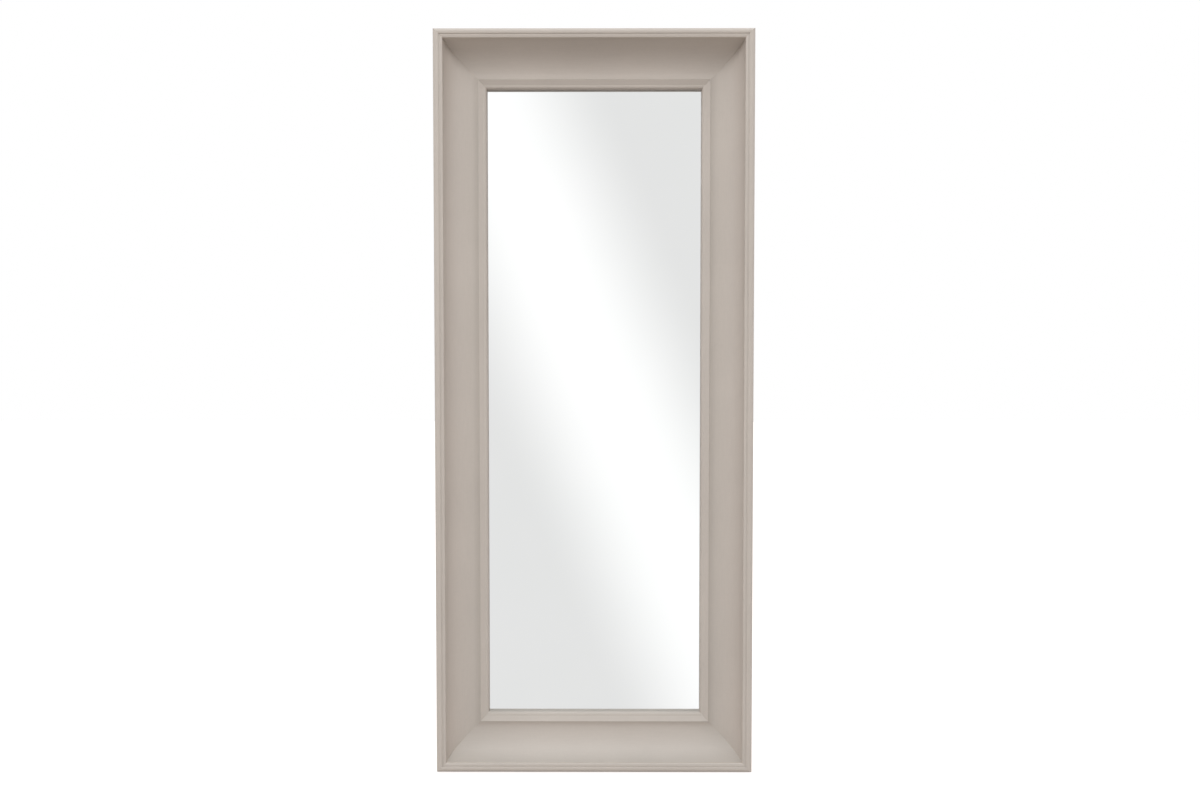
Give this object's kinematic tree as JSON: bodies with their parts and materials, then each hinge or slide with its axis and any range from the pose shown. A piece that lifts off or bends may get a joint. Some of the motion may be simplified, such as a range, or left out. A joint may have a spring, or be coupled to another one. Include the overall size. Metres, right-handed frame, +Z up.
{
  "type": "framed wall mirror",
  "caption": "Tall rectangular wall mirror in a deep concave painted wood frame, mitred at the corners, with a backing board, turn buttons and D-ring hangers behind.",
  "frame": {"origin": "on the wall plane, midway between the two hooks, at the height where the D-rings bear on them", "axes": "+X to the right as seen from the front, +Z up, the front faces -Y and the wall is at +Y"},
  "size_m": [0.6, 0.084, 1.4],
  "materials": {
    "painted_moulding": "satin paint",
    "painted_slip": "satin paint",
    "silvered_glass": "polished",
    "hardboard": "matte",
    "black_rubber": "matte",
    "zinc_plate": "zinc plated",
    "bright_steel": "bright",
    "zinc_tab": "zinc plated",
    "zinc_strap": "zinc plated",
    "nickel_wire": "nickel plated",
    "zinc_screws": "zinc plated"
  },
  "bodies": {
    "frame": {"top_rail": "painted_moulding", "bottom_rail": "painted_moulding", "left_stile": "painted_moulding", "right_stile": "painted_moulding", "slip_top": "painted_slip", "slip_bottom": "painted_slip", "slip_left": "painted_slip", "slip_right": "painted_slip", "mirror_glass": "silvered_glass", "backing_board": "hardboard", "setting_blocks": "black_rubber", "edge_spacers": "black_rubber", "v_nails": "bright_steel", "corner_plate_bottom_right": "zinc_plate", "wall_bumper_bottom_right": "black_rubber", "corner_plate_bottom_left": "zinc_plate", "wall_bumper_bottom_left": "black_rubber", "corner_plate_top_left": "zinc_plate", "wall_bumper_top_left": "black_rubber", "corner_plate_top_right": "zinc_plate", "wall_bumper_top_right": "black_rubber", "corner_plate_screws": "zinc_screws", "turn_button_screws": "zinc_screws", "hanger_strap_left": "zinc_strap", "hanger_strap_right": "zinc_strap", "hanger_screws": "zinc_screws"},
    "turn_button_top": {"turn_button_top": "zinc_tab"},
    "turn_button_bottom": {"turn_button_bottom": "zinc_tab"},
    "turn_button_left_upper": {"turn_button_left_upper": "zinc_tab"},
    "turn_button_left_middle": {"turn_button_left_middle": "zinc_tab"},
    "turn_button_left_lower": {"turn_button_left_lower": "zinc_tab"},
    "turn_button_right_upper": {"turn_button_right_upper": "zinc_tab"},
    "turn_button_right_middle": {"turn_button_right_middle": "zinc_tab"},
    "turn_button_right_lower": {"turn_button_right_lower": "zinc_tab"},
    "d_ring_left": {"d_ring_left": "nickel_wire"},
    "d_ring_right": {"d_ring_right": "nickel_wire"}
  },
  "joints": [
    {"name": "top_button_turn", "type": "hinge", "parent": "frame", "child": "turn_button_top", "pos_m": [0, -0.0101, 0.171], "axis": [0, 1, 0], "continuous": true},
    {"name": "bottom_button_turn", "type": "hinge", "parent": "frame", "child": "turn_button_bottom", "pos_m": [0, -0.0101, -1.111], "axis": [0, 1, 0], "continuous": true},
    {"name": "left_upper_button_turn", "type": "hinge", "parent": "frame", "child": "turn_button_left_upper", "pos_m": [-0.241, -0.0101, -0.005], "axis": [0, 1, 0], "continuous": true},
    {"name": "left_middle_button_turn", "type": "hinge", "parent": "frame", "child": "turn_button_left_middle", "pos_m": [-0.241, -0.0101, -0.47], "axis": [0, 1, 0], "continuous": true},
    {"name": "left_lower_button_turn", "type": "hinge", "parent": "frame", "child": "turn_button_left_lower", "pos_m": [-0.241, -0.0101, -0.935], "axis": [0, 1, 0], "continuous": true},
    {"name": "right_upper_button_turn", "type": "hinge", "parent": "frame", "child": "turn_button_right_upper", "pos_m": [0.241, -0.0101, -0.005], "axis": [0, 1, 0], "continuous": true},
    {"name": "right_middle_button_turn", "type": "hinge", "parent": "frame", "child": "turn_button_right_middle", "pos_m": [0.241, -0.0101, -0.47], "axis": [0, 1, 0], "continuous": true},
    {"name": "right_lower_button_turn", "type": "hinge", "parent": "frame", "child": "turn_button_right_lower", "pos_m": [0.241, -0.0101, -0.935], "axis": [0, 1, 0], "continuous": true},
    {"name": "left_ring_swing", "type": "hinge", "parent": "frame", "child": "d_ring_left", "pos_m": [-0.287, -0.0036, -0.0159], "axis": [-1, 0, 0], "range_deg": [0, 174]},
    {"name": "right_ring_swing", "type": "hinge", "parent": "frame", "child": "d_ring_right", "pos_m": [0.287, -0.0036, -0.0159], "axis": [-1, 0, 0], "range_deg": [0, 174]}
  ]
}
